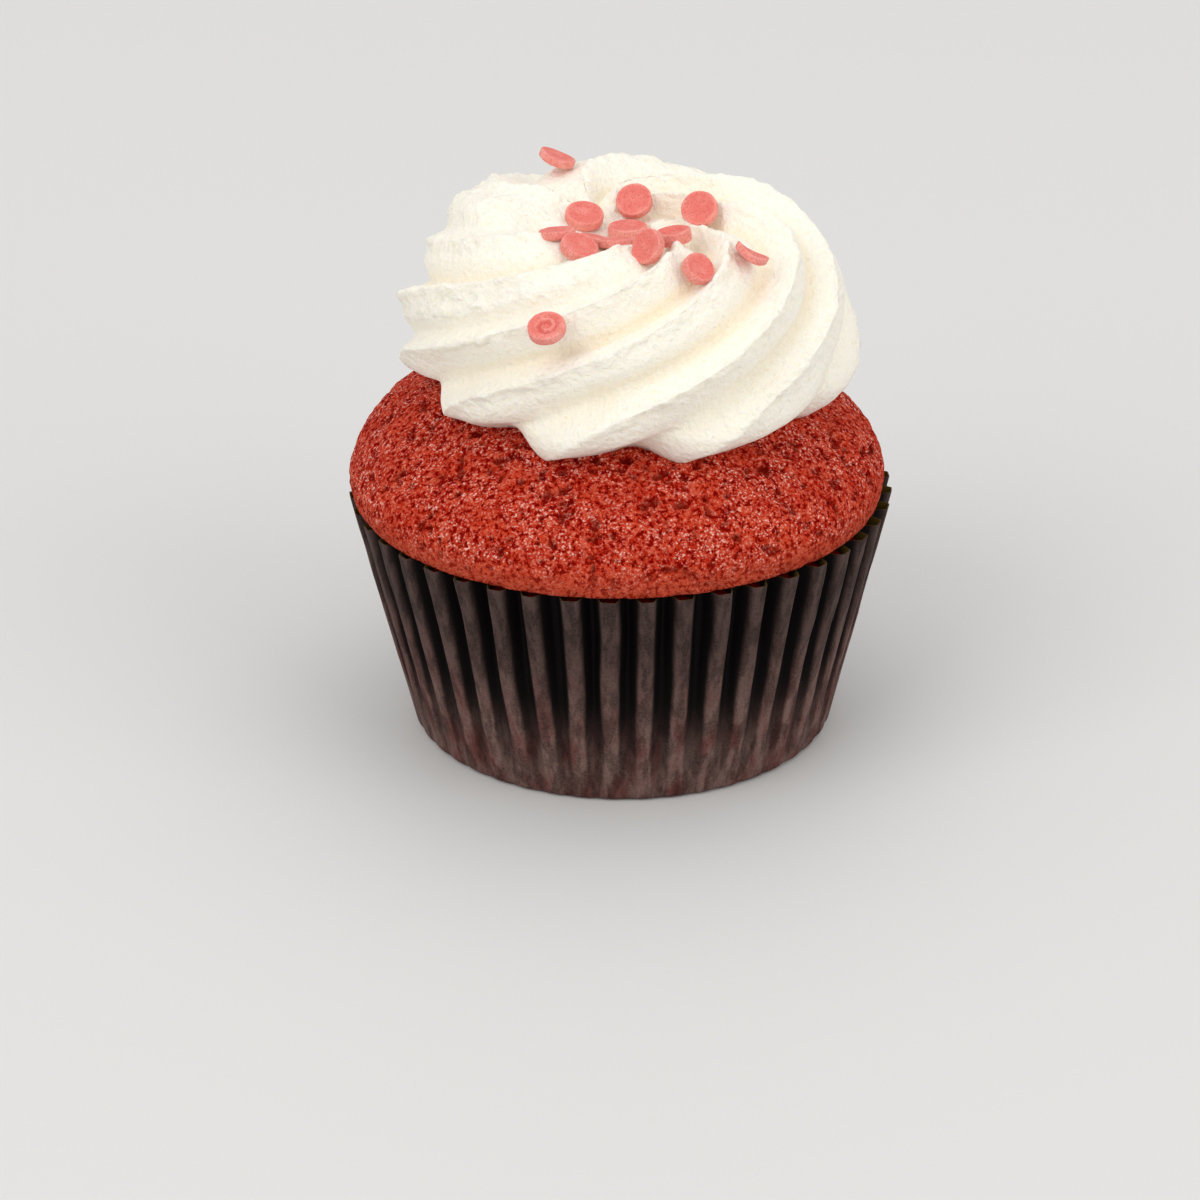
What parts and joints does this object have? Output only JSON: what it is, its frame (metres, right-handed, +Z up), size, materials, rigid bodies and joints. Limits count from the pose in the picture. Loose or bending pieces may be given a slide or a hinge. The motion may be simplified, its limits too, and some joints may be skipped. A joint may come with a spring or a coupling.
{
  "type": "cupcake",
  "caption": "Frosted cupcake: a domed red sponge in a dark pleated paper case, topped with a piped swirl of cream and flat sugar discs.",
  "frame": {"origin": "centre of the paper case's flat base, on the surface that it stands on", "axes": "+Z up through the dome and the swirl, -Y towards the side that is seen from the front, +X to its right"},
  "size_m": [0.0657, 0.0658, 0.0689],
  "materials": {
    "paper": "dark brown greaseproof paper, matte, pleated, reddish where the cake's fat has soaked in",
    "sponge": "fine open crumb, brick red, dull, with small dark pores",
    "cream": "ivory whipped cream cheese icing, soft, finely grained on its ridges",
    "sugar": "coral pink pressed sugar, chalky and matte"
  },
  "bodies": {
    "root": {"paper_case": "paper", "sponge": "sponge", "frosting": "cream"}
  },
  "joints": []
}
